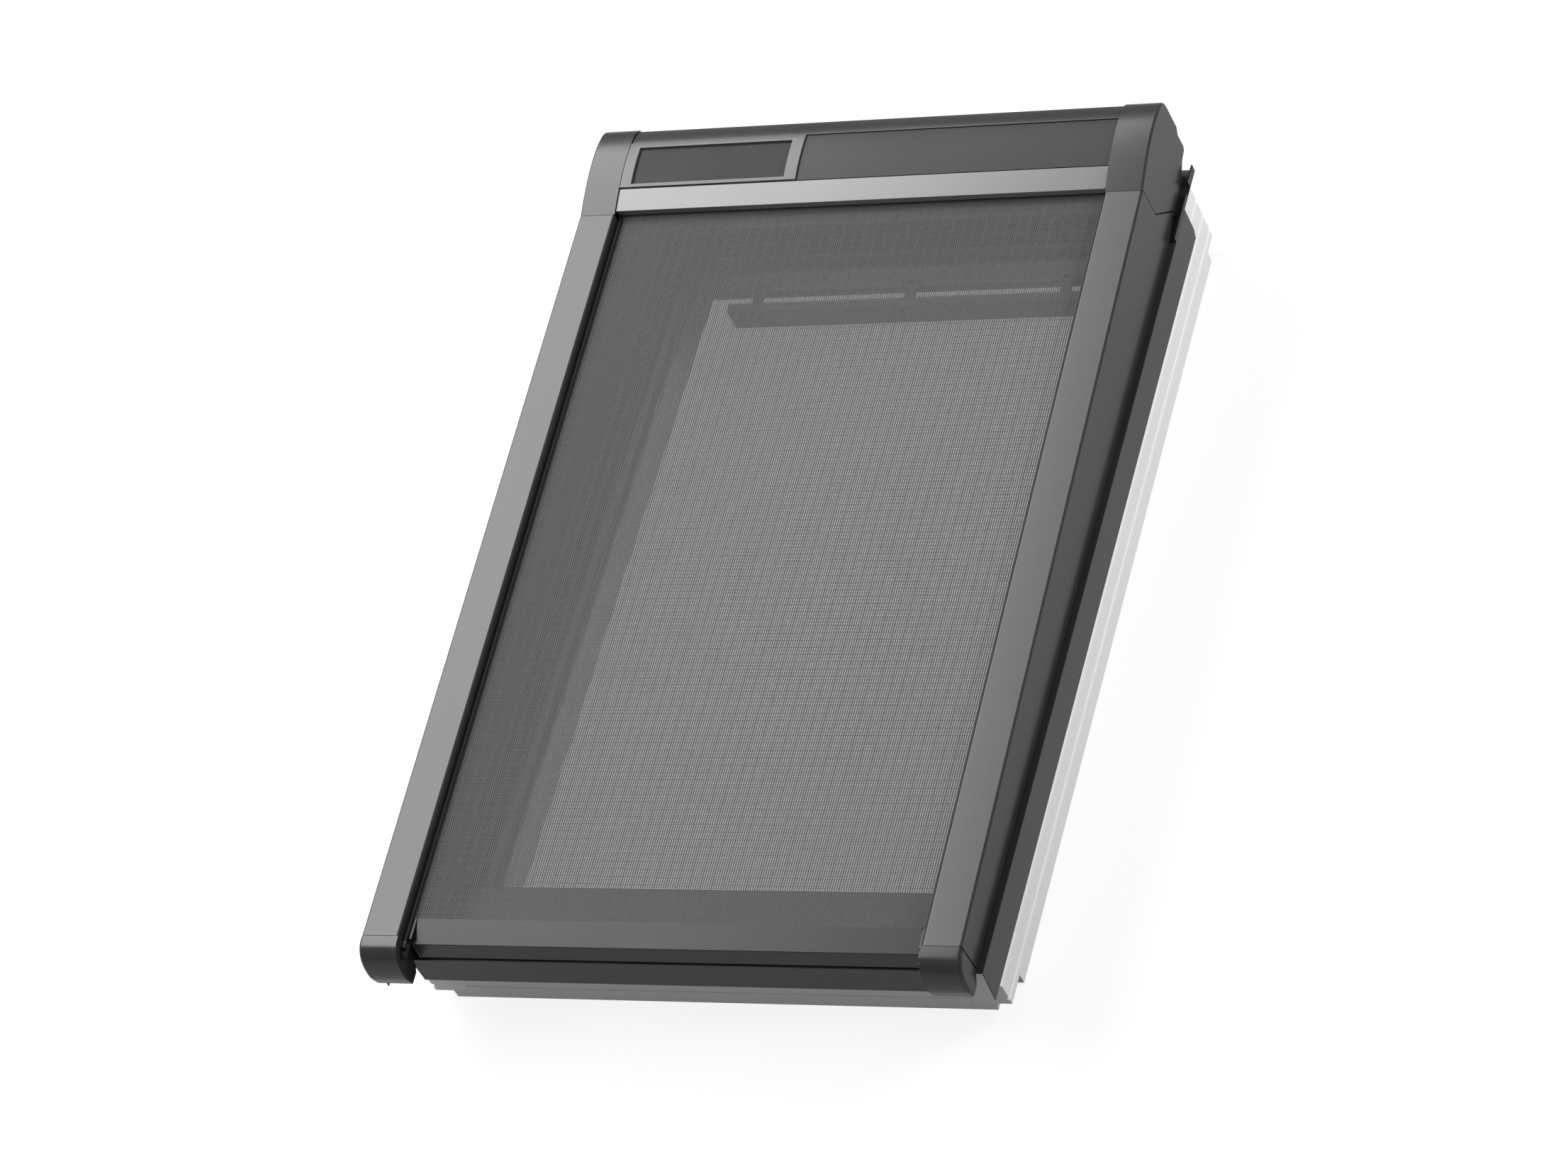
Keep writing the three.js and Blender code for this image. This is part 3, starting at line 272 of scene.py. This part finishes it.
MATERIALS = {
    "anthracite_metal": coated("anthracite_coat", PAINT, 0.26, bump=0.5),
    "dark_metal": coated("dark_coat", DARK_PAINT, 0.38, bump=0.6, specular=0.45),
    "white_frame": coated("white_coat", WHITE, 0.5, **WHITE_COAT),
    "steel": brushed("zinc_plate", ZINC, 0.35),
    "black_plastic": coated("black_moulding", BLACK, 0.5, grain=500, bump=0.1, specular=0.2),
    "panel": coated("smooth_panel", PANEL_BLACK, 0.42, grain=1200, bump=0.05, spread=0.04,
                    specular=0.24),
    "grey_metal": coated("grey_anodised", ANODISED, 0.36, grain=1200, bump=0.3, spread=0.05,
                         specular=0.56),
    "solar_cell": coated("cell_laminate", CELL_BLACK, 0.5, grain=300, bump=0.01, spread=0.08,
                         specular=0.18),
    "circuit_board": coated("solder_mask", BOARD_GREEN, 0.4, grain=200, bump=0.2, spread=0.2),
    "nylon": coated("pale_nylon", PALE_NYLON, 0.5, grain=400, bump=0.1, spread=0.05,
                    specular=0.4, speck=0.03),
    # The seal's grey is painted light that lifts the shadow in the gap under the bar.
    "rubber": coated("seal_painted_light", SEAL_PAINTED_LIGHT_GREY, 0.7, grain=700, bump=0.2, specular=0.4),
    "glass": clear_glass(),
    "screen_fabric": thread(),
}

# Nodes whose colour or finish differs from the rest of their slot.
COVER_COAT = coated("cover_coat", PAINT, 0.24, bump=0.3, specular=0.9)
# The sash's white, darker than the frame's white: painted shade inside the window.
PAINTED_SHADE_WHITE = coated("sash_painted_shade_coat", SHADED_SASH_WHITE, 0.5, **WHITE_COAT)
DARK_NYLON = coated("dark_nylon", NYLON_BLACK, 0.5, grain=400, bump=0.1)
SPECIAL = {
    "bar_profile": coated("bar_coat", PAINT, 0.3, bump=0.5, specular=0.33),
    # The strip's lighter grey is painted sheen; its low roughness and high specular are its real satin gloss.
    "head_front_strip": coated("satin_strip_painted_sheen", PAINTED_SHEEN_GREY, 0.3, bump=0.5, spread=0.06, specular=0.95),
    "control_bar": coated("grey_grip", GRIP_GREY, 0.4, bump=0.1, spread=0.04, speck=0.03),
}
for end in ("side_left", "side_right", "top", "bottom"):
    SPECIAL[f"sash_{end}"] = PAINTED_SHADE_WHITE
    SPECIAL[f"sash_cover_{end}"] = COVER_COAT
for end in ("left", "right"):
    SPECIAL[f"foot_pin_{end}"] = DARK_NYLON


# Rigid pieces: the CAD node's own surface with its edges eased, by so many millimetres.
# Of the names below that a node's name starts with, the last one counts.
EASE = {
    "frame_": 1.2,
    "sash_side": 1.2,
    "sash_top": 1.2,
    "sash_bottom": 1.2,
    "frame_cover": 1.0,
    "sash_cover": 1.0,
    "front_cover": 0.6,
    "head_": 0.5,
    "rail_left": 0.4,
    "rail_right": 0.4,
    "rail_foot": 0.5,
    "bar_profile": 2.0,
    "bar_end": 0.5,
    "solar_bezel": 0.5,
    "glass_": 0.4,
    "top_bracket": 0.4,
}
DEFAULT_EASE = 0.3


def ease_of(name):
    found = [value for start, value in EASE.items() if name.startswith(start)]
    return (found[-1] if found else DEFAULT_EASE) * MM


def eased_copy(name, node, material):
    mesh = node.data.copy()
    mesh.name = f"{name}_finished"
    work = bmesh.new()
    work.from_mesh(mesh)
    bmesh.ops.remove_doubles(work, verts=work.verts, dist=WELD)
    bmesh.ops.dissolve_limit(work, angle_limit=FLAT_ANGLE, verts=work.verts, edges=work.edges)
    for face in work.faces:
        face.smooth = True
    work.to_mesh(mesh)
    work.free()
    mesh.materials.clear()
    mesh.materials.append(material)
    piece = add_object(f"{name}_finished", mesh)
    bevel = piece.modifiers.new("eased_edges", "BEVEL")
    bevel.width = ease_of(name)
    bevel.segments = EDGE_SEGMENTS
    bevel.limit_method = "ANGLE"
    bevel.angle_limit = SMOOTH_ANGLE
    bevel.use_clamp_overlap = True
    weigh = piece.modifiers.new("flat_faces", "WEIGHTED_NORMAL")
    weigh.mode = "FACE_AREA"
    weigh.weight = NORMAL_WEIGHT
    weigh.keep_sharp = True
    return piece


def finish_rigid_pieces():
    """Dress every node but the fabric's. The glass casts no shadow, so what lies below is lit."""
    record = frame["record"]
    slots = {part["node"]: part["material_slot"] for part in record["subparts"]}
    for body, names in record["behaviour"]["bodies"].items():
        for name in names:
            slot = slots[name]
            if slot == "screen_fabric":
                continue
            piece = eased_copy(name, frame["nodes"][name], SPECIAL.get(name, MATERIALS[slot]))
            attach(piece, body)
            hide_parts(name)
            piece.visible_shadow = slot != "glass"


# Fabric.
def thread_section(width, thick):
    """Flattened six-sided section, as (across, up) pairs."""
    half, high = width / 2, thick / 2
    return [(-half, 0), (-half / 2, -high), (half / 2, -high),
            (half, 0), (half / 2, high), (-half / 2, high)]


def add_thread(work, start, end, across, up, width, thick):
    """A closed straight thread from start to end."""
    section = thread_section(width, thick)
    first, last = [[work.verts.new(point + across * a + up * b) for a, b in section]
                   for point in (start, end)]
    for i in range(len(section)):
        j = (i + 1) % len(section)
        work.faces.new((first[i], first[j], last[j], last[i]))
    work.faces.new(tuple(reversed(first)))
    work.faces.new(tuple(last))


def rib(index, extra):
    """What every fifth thread has over its neighbours."""
    return extra if index % RIB_EVERY == 0 else 0


def mesh_piece(name, work, material):
    bmesh.ops.recalc_face_normals(work, faces=work.faces)
    mesh = bpy.data.meshes.new(name)
    work.to_mesh(mesh)
    work.free()
    mesh.materials.append(material)
    return add_object(name, mesh)


def make_screen():
    """Warp threads up the rails and weft threads across, at their real pitch.

    The screen casts no shadow.
    """
    origin = Vector(joint_named("rails_lift")["pos_m"])
    along = Vector((0, math.cos(TILT), math.sin(TILT)))
    out = Vector((0, -math.sin(TILT), math.cos(TILT)))
    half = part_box("fabric_screen")[1].x
    bottom, top = SCREEN_LOW, SCREEN_HIGH

    def place(x, y):
        return origin + X_AXIS * x + along * y + out * SCREEN_LEVEL

    work = bmesh.new()
    columns = round(2 * (half - WARP_WIDTH) / WARP_PITCH)
    for i in range(columns + 1):
        x = (i - columns / 2) * WARP_PITCH
        width = WARP_WIDTH + rib(i, WARP_RIB)
        add_thread(work, place(x, bottom), place(x, top), X_AXIS, out, width, WARP_THICK)
    rows = round((top - bottom - WEFT_WIDTH) / WEFT_PITCH)
    start = (top + bottom - rows * WEFT_PITCH) / 2
    for j in range(rows + 1):
        y = start + j * WEFT_PITCH
        width = WEFT_WIDTH + rib(j, WEFT_RIB)
        add_thread(work, place(-half, y), place(half, y), along, out, width, WEFT_THICK)
    screen = mesh_piece("mesh_screen", work, MATERIALS["screen_fabric"])
    screen.visible_shadow = False
    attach(screen, "guide_rails")
    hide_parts("fabric_screen")
    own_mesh(screen)


def make_lead():
    """The mesh between the roll and the slot, as a thin closed strip."""
    mesh = frame["nodes"]["fabric_lead"].data.copy()
    mesh.name = "mesh_lead"
    mesh.materials.clear()
    mesh.materials.append(MATERIALS["screen_fabric"])
    lead = add_object("mesh_lead", mesh)
    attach(lead, "window_frame")
    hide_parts("fabric_lead")


def make_roll():
    """The mesh wound on the roller: one spiral strip."""
    centre = Vector(joint_named("roller_spin")["pos_m"])
    low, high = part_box("fabric_roll")
    outer = (high.z - low.z) / 2
    inner = outer - ROLL_THICK
    count = ROLL_TURNS * ROLL_FACETS
    work = bmesh.new()
    rows = []
    for i in range(count + 1):
        radius = inner + (outer - inner) * i / count
        angle = 2 * math.pi * i / ROLL_FACETS
        point = centre + Vector((0, math.cos(angle), math.sin(angle))) * radius
        rows.append([work.verts.new((x, point.y, point.z)) for x in (low.x, high.x)])
    for a, b in zip(rows, rows[1:]):
        work.faces.new((a[0], a[1], b[1], b[0]))
    roll = mesh_piece("mesh_roll", work, MATERIALS["screen_fabric"])
    for polygon in roll.data.polygons:
        polygon.use_smooth = True
    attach(roll, "roller")
    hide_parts("fabric_roll")


# Studio.
def make_floor():
    """A floor that glows for the camera and through glass, less in reflections."""
    mesh = bpy.data.meshes.new("floor")
    corners = [(-1, -1), (1, -1), (1, 1), (-1, 1)]
    mesh.from_pydata([(x * FLOOR_HALF, y * FLOOR_HALF, 0) for x, y in corners], [], [(0, 1, 2, 3)])
    floor = add_object("floor", mesh)
    floor.location.z = -FLOOR_DROP
    material, nodes, links, shader = new_material("pale_floor")
    shader.inputs["Base Color"].default_value = FLOOR_GREY
    shader.inputs["Roughness"].default_value = FLOOR_ROUGHNESS
    shader.inputs["Specular IOR Level"].default_value = 0
    glow = nodes.new("ShaderNodeEmission")
    glow.inputs["Strength"].default_value = FLOOR_GLOW
    path = nodes.new("ShaderNodeLightPath")
    direct = nodes.new("ShaderNodeMath")
    direct.operation = "MAXIMUM"
    links.new(path.outputs["Is Camera Ray"], direct.inputs[0])
    links.new(path.outputs["Is Transmission Ray"], direct.inputs[1])
    mirrored = nodes.new("ShaderNodeMath")
    mirrored.operation = "MULTIPLY"
    mirrored.inputs[1].default_value = FLOOR_IN_GLOSS
    links.new(path.outputs["Is Glossy Ray"], mirrored.inputs[0])
    both = nodes.new("ShaderNodeMath")
    both.operation = "MAXIMUM"
    links.new(direct.outputs[0], both.inputs[0])
    links.new(mirrored.outputs[0], both.inputs[1])
    black = nodes.new("ShaderNodeEmission")
    black.inputs["Strength"].default_value = 0
    pick = nodes.new("ShaderNodeMixShader")
    links.new(both.outputs[0], pick.inputs[0])
    links.new(black.outputs[0], pick.inputs[1])
    links.new(glow.outputs[0], pick.inputs[2])
    add = nodes.new("ShaderNodeAddShader")
    links.new(shader.outputs[0], add.inputs[0])
    links.new(pick.outputs[0], add.inputs[1])
    links.new(add.outputs[0], nodes["Material Output"].inputs["Surface"])
    mesh.materials.append(material)


def make_world():
    """White to the camera, dimmer as a light."""
    world = bpy.data.worlds.new("studio")
    bpy.context.scene.world = world
    world.use_nodes = True
    nodes, links = world.node_tree.nodes, world.node_tree.links
    light = nodes["Background"]
    light.inputs["Color"].default_value = (1, 1, 1, 1)
    light.inputs["Strength"].default_value = SKY_LIGHT
    seen = nodes.new("ShaderNodeBackground")
    seen.inputs["Strength"].default_value = 1
    path = nodes.new("ShaderNodeLightPath")
    pick = nodes.new("ShaderNodeMixShader")
    links.new(path.outputs["Is Camera Ray"], pick.inputs[0])
    links.new(light.outputs[0], pick.inputs[1])
    links.new(seen.outputs[0], pick.inputs[2])
    links.new(pick.outputs[0], nodes["World Output"].inputs["Surface"])


def make_lamp(name, place, facing, size, power, mirrored=True):
    """A soft rectangular lamp that shines along facing, seen in reflections if mirrored."""
    data = bpy.data.lights.new(name, "AREA")
    data.shape = "RECTANGLE"
    data.size, data.size_y = size
    data.energy = power
    lamp = add_object(name, data)
    lamp.location = Vector(place)
    lamp.rotation_mode = "QUATERNION"
    lamp.rotation_quaternion = Vector(facing).to_track_quat("-Z", "Y")
    lamp.visible_glossy = mirrored


def make_camera():
    data = bpy.data.cameras.new("photo_camera")
    data.sensor_width = SENSOR
    data.lens = PHOTO_FOCAL * SENSOR / PHOTO_WIDTH
    data.clip_end = VIEW_REACH
    camera = add_object("photo_camera", data)
    seam = Vector(joint_named("rails_lift")["pos_m"])
    shift = Vector((0, seam.y - SOLVED_SEAM_Y, 0))
    turn = Matrix((CAMERA_RIGHT, CAMERA_UP, CAMERA_BACK)).transposed().to_4x4()
    camera.matrix_world = Matrix.Translation(CAMERA_PLACE + shift) @ turn
    bpy.context.scene.camera = camera


make_camera()
finish_rigid_pieces()
make_screen()
make_lead()
make_roll()
make_floor()
make_world()
make_lamp("key", **KEY_LAMP)
make_lamp("side", **SIDE_LAMP)
bpy.context.scene.view_settings.view_transform = "Standard"
